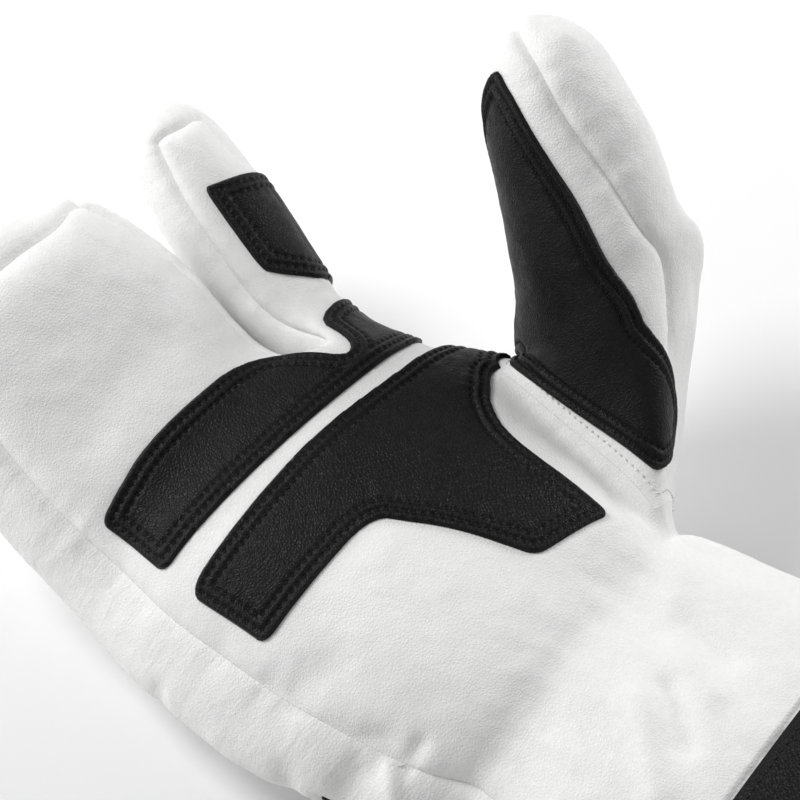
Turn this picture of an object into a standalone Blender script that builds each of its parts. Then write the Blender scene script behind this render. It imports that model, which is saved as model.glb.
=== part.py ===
"""Right-hand lobster mitt in white and black leather, lying on its back with the palm up.

The hand is one smooth surface through a cage of named sections: palm, three-finger mitten, index
finger, thumb and cuff. The surface is cut into its sewn panels, each a leather wall of its own, and
the black reinforcements are cut from the same surface and laid over it.

X runs to the thumb side, Y to the fingertips and Z up out of the palm. The origin is on the flat
underside, below the middle of the palm. Sizes are in millimetres.
"""

import bpy
import numpy as np
from mathutils import Vector, geometry

MM = 0.001

# Hand
PALM_LENGTH = 108.0  # wrist seam to the crotch beside the index finger
PALM_WIDTH = 126.0
PALM_DEPTH = 58.0
WRIST_WIDTH = 96.0
WRIST_DEPTH = 50.0
MIDDLE_HEIGHT = 27.0  # middle of the hand above the table
SIDE_BULGE = 0.13  # share of the half width that the little-finger side stands further out
SIDE_SAG = 0.10  # share of the half depth that this bulge hangs down
SQUARENESS = 2.5  # exponent of the rounded sections

# Fingers
MITTEN_LENGTH = 98.0
MITTEN_WIDTH = 82.0
MITTEN_DEPTH = 52.0
INDEX_LENGTH = 94.0
INDEX_WIDTH = 32.0
INDEX_DEPTH = 38.0
INDEX_INSET = 14.0  # how far the index finger's middle line starts inside the palm's widest
MITTEN_INSET = 2.0  # the same for the mitten
THUMB_LENGTH = 138.0
THUMB_WIDTH = 43.0

# Cuff
CUFF_LENGTH = 64.0
CUFF_WIDTH = 120.0
CUFF_DEPTH = 66.0
HEM_WIDTH = 16.0
HEM_STEP = 0.01  # share of the cuff's flare by which the hem stands further out
WRIST_GATHER = 0.07  # share of the half depth that every second column is gathered in at the wrist

# Leather
WALL = 3.0  # shell leather with its padding
PATCH_WALL = 1.3
SEAM_GAP = 0.3  # between panels on the outside
FLESH_GAP = 2.0  # between panels on the inside, where the leather is skived
PATCH_GAP = 0.3

# Columns of the hand's sections: share of the half width from little-finger side to thumb side
PALM_COLUMNS = (-0.93, -0.62, -0.21, 0.20, 0.58, 0.77, 0.93)
PALM_PATTERN = (-1.0, -0.66, -0.23, 0.21, 0.60, 0.80, 1.0)
SIDE_PATTERN = 1.36
BACK_PATTERN = 1.72
MITTEN_COLUMNS = (-0.90, -0.52, 0.0, 0.52, 0.90)
INDEX_COLUMNS = (-0.75, 0.0, 0.75)
CROTCH_COLUMN = 4
HAND_COLUMNS = 2 * len(PALM_COLUMNS) + 2
THUMB_COLUMNS = 12

# Rows of the hand from wrist to crotch
HAND_ROWS = (
    # length, width, depth, shift to the thumb side, as shares
    (0.10, 0.84, 0.92, 0.00),
    (0.30, 0.93, 1.00, 0.00),
    (0.48, 0.98, 1.02, 0.00),
    (0.64, 1.00, 1.00, 0.01),
    (0.82, 0.92, 0.98, -0.07),
    (1.00, 0.86, 0.93, -0.09),
)
THUMB_ROWS_ON_HAND = (1, 4)  # rows between which the thumb is set in
THUMB_COLUMNS_ON_HAND = (5, 8)
CUFF_ROWS_ON_BACK = 2  # rows of the hand that the cuff covers on its back

# Rows of the cuff from wrist to mouth
CUFF_ROWS = (
    # length, share of the way from the wrist's section to the mouth's
    (0.30, 0.42),
    (0.66, 0.85),
)

# Rows of a finger from crotch to tip
MITTEN_ROWS = (
    # length, width, depth, as shares
    (0.20, 1.00, 1.00),
    (0.45, 0.98, 0.95),
    (0.70, 0.89, 0.86),
    (0.90, 0.66, 0.60),
)
INDEX_ROWS = (
    (0.22, 0.86, 1.00),
    (0.48, 0.97, 0.98),
    (0.73, 0.94, 0.90),
    (0.92, 0.70, 0.64),
)
THUMB_ROWS = (
    # length, width, depth, how much more the web and how much less the heel stands out, as shares
    (0.40, 1.12, 1.10, 0.45, 0.35),
    (0.54, 1.08, 1.05, 0.15, 0.10),
    (0.68, 1.01, 0.97, 0.00, 0.00),
    (0.82, 0.89, 0.84, 0.00, 0.00),
    (0.94, 0.64, 0.57, 0.00, 0.00),
)

# How each finger points: share of its length, degrees from straight ahead to the thumb side, degrees up
MITTEN_HEADINGS = ((0.0, 2.0, 8.0), (0.4, 3.0, 27.0), (1.0, 3.0, 50.0))
INDEX_HEADINGS = ((0.0, 7.0, 6.0), (0.35, 11.0, 22.0), (1.0, 12.0, 46.0))
THUMB_HEADINGS = ((0.0, 78.0, 26.0), (0.35, 26.0, 38.0), (1.0, 14.0, 52.0))
THUMB_START = (0.76, 0.18)  # shares of the half width and of the palm's length
THUMB_TWIST = (-45.0, 52.0)  # degrees that the thumb's seams are turned at its root and at its tip
SPINE_STEPS = 48
TIP_DROP = 0.2  # share of the mitten's length that the middle of its tip stands past the corners
THUMB_INNER_COLUMNS = (11, 0, 1, 2, 3)
THUMB_BREAK = 7  # column where the thumb's chart ends
THUMB_FIRST = 1.5  # columns between the first one and the middle of the thumb's palm side
THUMB_TIP = (0.99, 0.22)  # share of the thumb's length, and of its half width, of its tip's four points

# Reinforcements: across and along the chart, then the share of each side that the corner rounds
INDEX_PATCH = (
    (0.73, 1.33, 0.20),
    (0.72, 1.62, 0.15),
    (0.88, 1.60, 0.30),
    (1.45, 1.52, 0.30),
    (1.45, 1.21, 0.30),
    (0.94, 1.21, 0.30),
    (0.80, 1.28, 0.40),
)
KNUCKLE_PATCH = (
    (-0.86, 0.87, 0.12),
    (-0.88, 1.10, 0.12),
    (-0.40, 1.18, 0.40),
    (0.36, 1.19, 0.40),
    (0.50, 0.92, 0.45),
    (0.64, 0.92, 0.40),
    (0.74, 1.12, 0.45),
    (1.45, 1.14, 0.30),
    (1.45, 0.88, 0.30),
    (0.85, 0.84, 0.30),
    (0.30, 0.845, 0.50),
    (-0.30, 0.86, 0.50),
)
PALM_PATCH = (
    (-0.86, 0.795, 0.15),
    (-0.86, 0.57, 0.12),
    (-0.20, 0.57, 0.25),
    (-0.03, 0.42, 0.40),
    (0.12, 0.225, 0.15),
    (0.53, 0.165, 0.12),
    (0.50, 0.40, 0.40),
    (0.53, 0.54, 0.50),
    (0.76, 0.63, 0.45),
    (1.40, 0.68, 0.30),
    (1.40, 0.78, 0.30),
    (0.60, 0.79, 0.40),
    (0.00, 0.82, 0.50),
)
THUMB_PATCH = (
    (0.16, 0.95, 0.40),
    (0.27, 0.84, 0.40),
    (0.26, 0.62, 0.40),
    (0.14, 0.42, 0.40),
    (0.48, 0.20, 0.35),
    (0.42, 0.09, 0.35),
    (0.05, 0.075, 0.40),
    (-0.25, 0.09, 0.40),
    (-0.56, 0.14, 0.35),
    (-0.52, 0.45, 0.40),
    (-0.22, 0.80, 0.40),
)

# Meshes
SURFACE_LEVELS = 1
FITTING_STEPS = 6
WALL_SMOOTHING = 6  # rounds that even out the wall's direction at creases
CORNER_STEPS = 5
SHARP_ANGLE = 40.0
WHITE_PANELS = ("palm_panel", "back_panel", "side_gusset", "fourchette", "thumb_inner", "thumb_outer")


def on_section(across, half_width, half_depth):
    """Height of a rounded section's wall at a share of its half width."""
    return half_depth * (1 - min(abs(across), 1.0) ** SQUARENESS) ** (1 / SQUARENESS)


def unit(vector):
    return np.asarray(vector) / np.linalg.norm(vector)


def heading(azimuth, elevation):
    """Unit vector at degrees from +Y towards +X, and degrees up."""
    a, e = np.radians(azimuth), np.radians(elevation)
    return np.array([np.sin(a) * np.cos(e), np.cos(a) * np.cos(e), np.sin(e)])


class Spine:
    """The middle line of a finger, which turns as its headings say."""

    def __init__(self, start, length, headings):
        shares, azimuths, elevations = np.array(headings).T
        steps = (np.arange(SPINE_STEPS) + 0.5) / SPINE_STEPS
        ways = [heading(np.interp(s, shares, azimuths), np.interp(s, shares, elevations)) for s in steps]
        self.points = np.vstack([start, start + np.cumsum(ways, axis=0) * length / SPINE_STEPS])
        self.ways = lambda s: heading(np.interp(s, shares, azimuths), np.interp(s, shares, elevations))

    def at(self, share):
        marks = np.linspace(0, 1, SPINE_STEPS + 1)
        return np.array([np.interp(share, marks, self.points[:, k]) for k in range(3)])


class Cage:
    """Quads between points. Each point holds its place and its spot on the flat patterns."""

    def __init__(self):
        self.points = []
        self.quads = []
        self.panels = []
        self.charts = []

    def point(self, place, palm_spot, thumb_spot=(0, 0)):
        self.points.append((*place, *palm_spot, *thumb_spot))
        return len(self.points) - 1

    def quad(self, panel, chart, *corners):
        self.quads.append(corners)
        self.panels.append(panel)
        self.charts.append(chart)


def hand_ring(cage, y, width, depth, along, shift=0.0, gather=0.0):
    """Points round the hand: palm columns, thumb side, back columns, little-finger side."""
    half_width, half_depth = width / 2, depth / 2
    places = []
    for across, spot in zip(PALM_COLUMNS, PALM_PATTERN):
        places.append((across, on_section(across, half_width, half_depth), spot))
    places.append((1.0, 0.0, SIDE_PATTERN))
    for across, spot in reversed(list(zip(PALM_COLUMNS, PALM_PATTERN))):
        back_spot = BACK_PATTERN + (1 - spot)
        places.append((across, -on_section(across, half_width, half_depth), back_spot))
    across, height, spot = places.pop()
    places.append((across - SIDE_BULGE / 2, height, spot))
    places.append((-1.0 - SIDE_BULGE, -half_depth * SIDE_SAG, -SIDE_PATTERN))
    return [
        cage.point((shift + across * half_width, y, MIDDLE_HEIGHT + height * (1 - gather * (k % 2))), (spot, along))
        for k, (across, height, spot) in enumerate(places)
    ]


def finger_ring(cage, spine, columns, row, size, spots, bulge=0.0):
    """Points round a finger: palm columns, thumb side, back columns, little-finger side."""
    share, width_share, depth_share = row
    width, depth, length = size
    centre, way = spine.at(share), spine.ways(share)
    side = unit(np.cross(way, (0, 0, 1)))
    up = np.cross(side, way)
    half_width, half_depth = width * width_share / 2, depth * depth_share / 2
    shape = [(c, on_section(c, half_width, half_depth)) for c in columns]
    shape.append((1.0, 0.0))
    shape += [(c, -on_section(c, half_width, half_depth)) for c in reversed(columns)]
    shape.append((-1.0 - bulge, -half_depth * bulge))
    return [
        cage.point(centre + side * across * half_width + up * height, (spot, 1 + share * length / PALM_LENGTH))
        for (across, height), spot in zip(shape, spots)
    ]


def cap(cage, rows, centres, panel):
    """Closes a tube's end by a grid: the first and last rows are whole, those between lack their insides."""
    grid = [rows[0]]
    for row, middle in zip(rows[1:-1], centres):
        grid.append([row[0], *middle, row[1]])
    grid.append(rows[-1])
    for upper, lower in zip(grid, grid[1:]):
        for k in range(len(upper) - 1):
            cage.quad(panel, None, upper[k], upper[k + 1], lower[k + 1], lower[k])


def tube(cage, ring, next_ring, panels, charts):
    """Quads between two rings, each with its panel and chart. A panel of None leaves a hole."""
    count = len(ring)
    for k in range(count):
        if panels[k]:
            n = (k + 1) % count
            cage.quad(panels[k], charts[k], ring[k], ring[n], next_ring[n], next_ring[k])


def hand_panel(row, column):
    """Sewn panel of the hand between two columns, or None inside the thumb's hole."""
    first_row, end_row = THUMB_ROWS_ON_HAND
    first_column, end_column = THUMB_COLUMNS_ON_HAND
    if first_row <= row < end_row and first_column <= column < end_column:
        return None
    if column < 6:
        return "palm_panel"
    if row >= end_row and column < 8:
        return "fourchette"
    if column == 15:
        return "side_gusset"
    if column == end_column and row == first_row:
        return "back_panel"
    if row < CUFF_ROWS_ON_BACK:
        return "palm_panel" if column == 6 else "cuff"
    return "back_panel" if column < 14 else "side_gusset"


def build_hand(cage):
    """Cuff and palm. Returns the rings from wrist to crotch."""
    wrist_y = -PALM_LENGTH / 2
    hem_start = 1 - HEM_WIDTH / CUFF_LENGTH
    cuff_rows = ((1.0, 1.0), (hem_start, 1 - HEM_STEP), *reversed(CUFF_ROWS), (0.0, 0.0))
    rings = []
    for length, way in cuff_rows:
        width = WRIST_WIDTH + (CUFF_WIDTH - WRIST_WIDTH) * way
        depth = WRIST_DEPTH + (CUFF_DEPTH - WRIST_DEPTH) * way
        gather = WRIST_GATHER * (1 - way)
        rings.append(hand_ring(cage, wrist_y - CUFF_LENGTH * length, width, depth, -length, 0.0, gather))
    tube(cage, rings[0], rings[1], ("cuff_hem",) * HAND_COLUMNS, (None,) * HAND_COLUMNS)
    cuff_panels = ("palm_panel",) * 7 + ("cuff",) * 8 + ("side_gusset",)
    charts = ("palm",) * (HAND_COLUMNS - 2) + (None,) * 2
    for lower, upper in zip(rings[1:], rings[2:]):
        tube(cage, lower, upper, cuff_panels, charts)
    hand = [rings[-1]]
    for length, width, depth, shift in HAND_ROWS:
        y = wrist_y + PALM_LENGTH * length
        hand.append(
            hand_ring(cage, y, PALM_WIDTH * width, PALM_DEPTH * depth, length, PALM_WIDTH / 2 * shift)
        )
    for row, (lower, upper) in enumerate(zip(hand, hand[1:])):
        tube(cage, lower, upper, [hand_panel(row, k) for k in range(HAND_COLUMNS)], charts)
    return hand


def build_mitten(cage, crotch_ring, bridge):
    first = [*crotch_ring[:5], bridge, *crotch_ring[10:]]
    x = (MITTEN_WIDTH - PALM_WIDTH) / 2 + MITTEN_INSET
    start = np.array([x, PALM_LENGTH / 2, MIDDLE_HEIGHT])
    spine = Spine(start, MITTEN_LENGTH, MITTEN_HEADINGS)
    palm_spots = PALM_PATTERN[:5]
    back_spots = [BACK_PATTERN + 1 - s for s in reversed(palm_spots)]
    spots = (*palm_spots, PALM_PATTERN[4], *back_spots, -SIDE_PATTERN)
    size = (MITTEN_WIDTH, MITTEN_DEPTH, MITTEN_LENGTH)
    rings = [first]
    for row in MITTEN_ROWS:
        rings.append(finger_ring(cage, spine, MITTEN_COLUMNS, row, size, spots, SIDE_BULGE))
    panels = ("palm_panel",) * 4 + ("fourchette",) * 2 + ("back_panel",) * 4 + ("side_gusset",) * 2
    charts = ("palm",) * 4 + (None,) * 2 + ("palm",) * 4 + (None,) * 2
    for lower, upper in zip(rings, rings[1:]):
        tube(cage, lower, upper, panels, charts)
    last = rings[-1]
    side = unit(np.cross(spine.ways(1.0), (0, 0, 1)))
    half_width = MITTEN_WIDTH / 2 * MITTEN_ROWS[-1][1]
    middles = [
        cage.point(spine.at(1.0 - TIP_DROP * c * c) + side * c * half_width, (s, 2.0))
        for c, s in zip(MITTEN_COLUMNS[1:4], PALM_PATTERN[1:4])
    ]
    cap(cage, [last[0:5], (last[11], last[5]), last[10:5:-1]], [middles], "side_gusset")


def build_index(cage, crotch_ring, bridge):
    first = [*crotch_ring[4:11], bridge]
    x = (PALM_WIDTH - INDEX_WIDTH) / 2 - INDEX_INSET
    start = np.array([x, PALM_LENGTH / 2, MIDDLE_HEIGHT])
    spine = Spine(start, INDEX_LENGTH, INDEX_HEADINGS)
    palm_spots = PALM_PATTERN[4:]
    back_spots = [BACK_PATTERN + 1 - s for s in reversed(palm_spots)]
    spots = (*palm_spots, SIDE_PATTERN, *back_spots, PALM_PATTERN[4])
    size = (INDEX_WIDTH, INDEX_DEPTH, INDEX_LENGTH)
    rings = [first]
    for row in INDEX_ROWS:
        rings.append(finger_ring(cage, spine, INDEX_COLUMNS, row, size, spots))
    panels = ("palm_panel",) * 2 + ("fourchette",) * 2 + ("back_panel",) * 2 + ("fourchette",) * 2
    charts = ("palm",) * 6 + (None,) * 2
    for lower, upper in zip(rings, rings[1:]):
        tube(cage, lower, upper, panels, charts)
    last = rings[-1]
    middle = cage.point(spine.at(1.0), (PALM_PATTERN[5], 2.0))
    cap(cage, [last[0:3], (last[7], last[3]), last[6:3:-1]], [[middle]], "fourchette")


def thumb_loop(cage, hand):
    """The points of the hole in the hand that the thumb is set into, one for each of its columns."""
    first_row, end_row = THUMB_ROWS_ON_HAND
    first, end = THUMB_COLUMNS_ON_HAND
    rows = range(first_row, end_row + 1)
    loop = [hand[r][first] for r in rows]
    loop += [hand[end_row][c] for c in range(first + 1, end + 1)]
    loop += [hand[r][end] for r in reversed(rows[:-1])]
    loop += [hand[first_row][c] for c in range(end - 1, first, -1)]
    for k, index in enumerate(loop):
        cage.points[index] = (*cage.points[index][:5], thumb_spot(k), 0.0)
    return loop


def thumb_spot(k):
    """Share of half a turn round the thumb from its palm side, for one of its columns."""
    turn = (THUMB_FIRST - k) * 2 / THUMB_COLUMNS
    return turn + 2 if turn < -1 else turn


def thumb_turn(k, twist):
    """Angle of one of the thumb's columns round its spine, with the twist in degrees."""
    return 2 * np.pi * (k - THUMB_FIRST) / THUMB_COLUMNS + np.radians(twist)


def build_thumb(cage, hand):
    loop = thumb_loop(cage, hand)
    across, along = THUMB_START
    start = np.array([across * PALM_WIDTH / 2, (along - 0.5) * PALM_LENGTH, MIDDLE_HEIGHT])
    spine = Spine(start, THUMB_LENGTH, THUMB_HEADINGS)
    rings = [loop]
    for share, width, depth, web, heel in THUMB_ROWS:
        way = spine.ways(share)
        far = unit(np.array((0, 1, 0)) - way[1] * way)
        palm = np.cross(way, far)
        twist = np.interp(share, (0, 1), THUMB_TWIST)
        ring = []
        for k in range(THUMB_COLUMNS):
            turn = thumb_turn(k, twist)
            reach = width * (1 + (web if np.sin(turn) > 0 else -heel) * np.sin(turn) ** 2)
            off = palm * np.cos(turn) * depth + far * np.sin(turn) * reach
            ring.append(cage.point(spine.at(share) + off * THUMB_WIDTH / 2, (0, 0), (thumb_spot(k), share)))
        rings.append(ring)
    for lower, upper in zip(rings, rings[1:]):
        for k in range(THUMB_COLUMNS):
            n = (k + 1) % THUMB_COLUMNS
            panel = "thumb_inner" if k in THUMB_INNER_COLUMNS else "thumb_outer"
            chart = "thumb" if k != THUMB_BREAK else None
            cage.quad(panel, chart, lower[k], upper[k], upper[n], lower[n])
    last = rings[-1]
    inner = []
    tip, reach = THUMB_TIP
    for k in (0, 3, 6, 9):
        turn = thumb_turn(k, THUMB_TWIST[1])
        off = palm * np.cos(turn) + far * np.sin(turn)
        inner.append(cage.point(spine.at(tip) + off * THUMB_WIDTH / 2 * reach, (0, 0), (0, 1)))
    grid = (
        (last[0], last[1], last[2], last[3]),
        (last[11], inner[0], inner[1], last[4]),
        (last[10], inner[3], inner[2], last[5]),
        (last[9], last[8], last[7], last[6]),
    )
    for panel, upper, lower in zip(("thumb_inner", "thumb_outer", "thumb_outer"), grid, grid[1:]):
        for k in range(3):
            cage.quad(panel, None, upper[k], lower[k], lower[k + 1], upper[k + 1])


def build_cage():
    cage = Cage()
    hand = build_hand(cage)
    crotch = hand[-1]
    x = cage.points[crotch[CROTCH_COLUMN]][0]
    bridge = cage.point((x, PALM_LENGTH / 2, MIDDLE_HEIGHT), (PALM_PATTERN[CROTCH_COLUMN], 1.0))
    build_mitten(cage, crotch, bridge)
    build_index(cage, crotch, bridge)
    build_thumb(cage, hand)
    return cage


def edges_of(quads):
    """Edges of the quads, and the edge that follows each corner."""
    sides = np.stack([quads, np.roll(quads, -1, axis=1)], axis=2).reshape(-1, 2)
    edges, index = np.unique(np.sort(sides, axis=1), axis=0, return_inverse=True)
    return edges, index.reshape(quads.shape)


def summed(size, index, values):
    """Sum of the values that fall on each index."""
    total = np.zeros((size, values.shape[1]))
    np.add.at(total, index, values)
    return total


def rim_sum(points, edges, sides):
    """Sum of each rim point's two neighbours along the rim, and which points lie on it."""
    rim = edges[np.bincount(sides.ravel(), minlength=len(edges)) == 1]
    total = summed(len(points), rim[:, 0], points[rim[:, 1]])
    total += summed(len(points), rim[:, 1], points[rim[:, 0]])
    on_rim = np.zeros(len(points), bool)
    on_rim[rim.ravel()] = True
    return total, on_rim


def subdivide(points, spots, quads):
    """One Catmull-Clark step. The spots are only halved, so that they stay true on each face."""
    edges, sides = edges_of(quads)
    size = len(points)
    centres = points[quads].mean(axis=1)
    middles = points[edges].mean(axis=1)
    beside = summed(len(edges), sides.ravel(), np.repeat(centres, 4, axis=0))
    inside = np.bincount(sides.ravel(), minlength=len(edges)) == 2
    on_edges = np.where(inside[:, None], (2 * middles + beside) / 4, middles)
    valence = np.bincount(quads.ravel(), minlength=size)[:, None]
    around = summed(size, quads.ravel(), np.repeat(centres, 4, axis=0)) / valence
    spokes = summed(size, edges.ravel(), np.repeat(middles, 2, axis=0)) / valence
    moved = (around + 2 * spokes + (valence - 3) * points) / valence
    along_rim, on_rim = rim_sum(points, edges, sides)
    moved[on_rim] = points[on_rim] * 0.75 + along_rim[on_rim] / 8
    new_spots = np.vstack([spots, spots[edges].mean(axis=1), spots[quads].mean(axis=1)])
    side_points = size + sides
    centre_points = (size + len(edges) + np.arange(len(quads)))[:, None].repeat(4, axis=1)
    children = np.stack([quads, side_points, centre_points, np.roll(side_points, 1, axis=1)], axis=2)
    return np.vstack([moved, on_edges, centres]), new_spots, children.reshape(-1, 4)


def limit(points, quads):
    """Where each point would lie after endless Catmull-Clark steps."""
    edges, sides = edges_of(quads)
    size = len(points)
    valence = np.bincount(quads.ravel(), minlength=size)[:, None]
    near = summed(size, edges[:, 0], points[edges[:, 1]]) + summed(size, edges[:, 1], points[edges[:, 0]])
    opposite = summed(size, quads.ravel(), points[np.roll(quads, -2, axis=1).ravel()])
    placed = (valence**2 * points + 4 * near + opposite) / (valence * (valence + 5))
    along_rim, on_rim = rim_sum(points, edges, sides)
    placed[on_rim] = (4 * points[on_rim] + along_rim[on_rim]) / 6
    return placed


class Surface:
    """The hand's outer surface in triangles, through every point of the cage."""

    def __init__(self, cage, levels):
        used, index = np.unique(np.array(cage.quads), return_inverse=True)
        quads = index.reshape(-1, 4)
        rows = np.array(cage.points)[used]
        targets, spots = rows[:, :3], rows[:, 3:]
        points = targets.copy()
        for _ in range(FITTING_STEPS):
            points += targets - limit(points, quads)
        for _ in range(levels):
            points, spots, quads = subdivide(points, spots, quads)
        points = limit(points, quads)
        points[:, 2] = np.maximum(points[:, 2], 0)
        self.points = points
        self.spots = spots
        self.triangles = np.stack([quads[:, [0, 1, 2]], quads[:, [0, 2, 3]]], axis=1).reshape(-1, 3)
        repeat = 2 * 4**levels
        self.panels = np.repeat(np.array(cage.panels), repeat)
        self.charts = np.repeat(np.array([chart or "" for chart in cage.charts]), repeat)
        a, b, c = (points[self.triangles[:, k]] for k in range(3))
        across = np.cross(b - a, c - a)
        normals = summed(len(points), self.triangles.ravel(), np.repeat(across, 3, axis=0))
        self.normals = normals / np.linalg.norm(normals, axis=1, keepdims=True)
        edges = edges_of(self.triangles)[0]
        ways = self.normals
        for _ in range(WALL_SMOOTHING):
            near = summed(len(points), edges[:, 0], ways[edges[:, 1]])
            near += summed(len(points), edges[:, 1], ways[edges[:, 0]])
            ways = near / np.linalg.norm(near, axis=1, keepdims=True)
        self.wall_ways = ways


def border_of(triangles):
    """Directed edges that have a triangle on one side only."""
    sides = np.stack([triangles, np.roll(triangles, -1, axis=1)], axis=2).reshape(-1, 2)
    seen = {tuple(side) for side in sides.tolist()}
    return [side for side in seen if side[::-1] not in seen]


def drawn_in(points, normals, triangles, distance):
    """The points, with those on the border moved this far into the piece."""
    border = border_of(triangles)
    inward = {}
    for start, end in border:
        normal = normals[start] + normals[end]
        way = unit(np.cross(normal, points[end] - points[start]))
        inward.setdefault(start, []).append(way)
        inward.setdefault(end, []).append(way)
    moved = points.copy()
    for index, ways in inward.items():
        total = sum(ways)
        moved[index] += total * distance * len(ways) / max(total @ total, 1.0)
    return moved


def material(name, colour, roughness):
    made = bpy.data.materials.new(name)
    made.use_nodes = True
    shader = made.node_tree.nodes["Principled BSDF"]
    shader.inputs["Base Color"].default_value = (*colour, 1.0)
    shader.inputs["Roughness"].default_value = roughness
    shader.inputs["Metallic"].default_value = 0.0
    return made


def leather(name, outer, inner, triangles, look):
    """A closed wall between two layers of the same triangles, as one object."""
    used, index = np.unique(triangles, return_inverse=True)
    triangles = index.reshape(triangles.shape)
    count = len(used)
    faces = [*triangles.tolist(), *(triangles[:, ::-1] + count).tolist()]
    faces += [(b, a, a + count, b + count) for a, b in sorted(border_of(triangles))]
    mesh = bpy.data.meshes.new(name)
    mesh.from_pydata((np.vstack([outer[used], inner[used]]) * MM).tolist(), [], faces)
    mesh.shade_smooth()
    mesh.set_sharp_from_angle(angle=np.radians(SHARP_ANGLE))
    mesh.materials.append(look)
    made = bpy.data.objects.new(name, mesh)
    bpy.context.scene.collection.objects.link(made)


def panel(name, surface, look):
    """One sewn panel of the shell."""
    triangles = surface.triangles[surface.panels == name]
    outer = drawn_in(surface.points, surface.normals, triangles, SEAM_GAP / 2)
    inner = drawn_in(surface.points, surface.normals, triangles, FLESH_GAP / 2)
    leather(name, outer, inner - surface.wall_ways * WALL, triangles, look)


def rounded(corners):
    """A closed outline with each corner rounded over its own share of the sides beside it."""
    spots = np.array([corner[:2] for corner in corners])
    outline = []
    for k, corner in enumerate(corners):
        share = corner[2] if len(corner) > 2 else 0.5
        start = spots[k] + (spots[k - 1] - spots[k]) * share
        end = spots[k] + (spots[(k + 1) % len(spots)] - spots[k]) * share
        for t in np.linspace(0, 1, CORNER_STEPS, endpoint=False) + 0.5 / CORNER_STEPS:
            outline.append((1 - t) ** 2 * start + 2 * t * (1 - t) * spots[k] + t**2 * end)
    return np.array(outline)


def inside(outline, spots):
    """Which spots lie inside the closed outline."""
    found = np.zeros(len(spots), bool)
    for a, b in zip(outline, np.roll(outline, -1, axis=0)):
        crosses = (a[1] > spots[:, 1]) != (b[1] > spots[:, 1])
        slope = (b[0] - a[0]) / (b[1] - a[1] if b[1] != a[1] else 1.0)
        found ^= crosses & (spots[:, 0] < a[0] + slope * (spots[:, 1] - a[1]))
    return found


def shares_of(corners, spots):
    """Shares of each triangle's corners at each spot: array of spots by triangles by 3."""
    a, b, c = (corners[None, :, k] for k in range(3))
    p = spots[:, None]
    turn = lambda u, v: u[..., 0] * v[..., 1] - u[..., 1] * v[..., 0]
    whole = turn(b - a, c - a)
    second = turn(p - a, c - a) / whole
    third = turn(b - a, p - a) / whole
    return np.stack([1 - second - third, second, third], axis=2)


def drape(surface, chart, outline):
    """The chart cut to an outline: points on the surface, their normals, and triangles."""
    first = {"palm": 0, "thumb": 2}[chart]
    spots = surface.spots[:, first : first + 2]
    triangles = surface.triangles[surface.charts == chart]
    low, high = outline.min(axis=0), outline.max(axis=0)
    corners = spots[triangles]
    near = ((corners.max(axis=1) > low) & (corners.min(axis=1) < high)).all(axis=1)
    triangles, corners = triangles[near], corners[near]
    used, index = np.unique(triangles, return_inverse=True)
    sides = edges_of(index.reshape(-1, 3))[0].tolist()
    count = len(used)
    ends = [(count + k, count + (k + 1) % len(outline)) for k in range(len(outline))]
    places = [Vector(p) for p in np.vstack([spots[used], outline]).tolist()]
    cut, _, faces, *_ = geometry.delaunay_2d_cdt(places, sides + ends, [], 0, 1e-7, False)
    cut = np.array([tuple(p) for p in cut])
    faces = np.array(faces)
    centres = cut[faces].mean(axis=1)
    kept = inside(outline, centres) & (shares_of(corners, centres).min(axis=2).max(axis=1) > -1e-6)
    faces = faces[kept]
    shares = shares_of(corners, cut)
    best = shares.min(axis=2).argmax(axis=1)
    weights = shares[np.arange(len(cut)), best][:, :, None]
    points = (surface.points[triangles[best]] * weights).sum(axis=1)
    normals = (surface.normals[triangles[best]] * weights).sum(axis=1)
    a, b, c = (points[faces[:, k]] for k in range(3))
    outward = (np.cross(b - a, c - a) * normals[faces[:, 0]]).sum()
    return points, normals, faces if outward > 0 else faces[:, ::-1]


def patch(name, surface, chart, corners, thickness, look):
    """A reinforcement laid over the shell."""
    points, normals, faces = drape(surface, chart, rounded(corners))
    inner = points + normals * PATCH_GAP
    leather(name, inner + normals * thickness, inner, faces, look)


def main():
    for old in list(bpy.data.objects):
        bpy.data.objects.remove(old)
    surface = Surface(build_cage(), SURFACE_LEVELS)
    white = material("white_leather", (0.86, 0.86, 0.85), 0.42)
    black = material("black_leather", (0.035, 0.035, 0.037), 0.5)
    for name in WHITE_PANELS:
        panel(name, surface, white)
    for name in ("cuff", "cuff_hem"):
        panel(name, surface, black)
    patch("index_patch", surface, "palm", INDEX_PATCH, PATCH_WALL, black)
    patch("knuckle_patch", surface, "palm", KNUCKLE_PATCH, PATCH_WALL, black)
    patch("palm_patch", surface, "palm", PALM_PATCH, PATCH_WALL, black)
    patch("thumb_patch", surface, "thumb", THUMB_PATCH, PATCH_WALL, black)


main()
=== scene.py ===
"""Right-hand lobster mitt in white and black leather, palm up on a pale surface.

The part's own surface is built again with far more detail: seams, gathers and folds are moves of its
points, each panel is cut from it as a leather wall, and the reinforcements are sheets laid on it. The
leather's grain is bump in the materials.
"""

import bpy
import numpy as np
from mathutils import Matrix, Vector, geometry, noise
from mathutils.bvhtree import BVHTree
from mathutils.kdtree import KDTree


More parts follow.
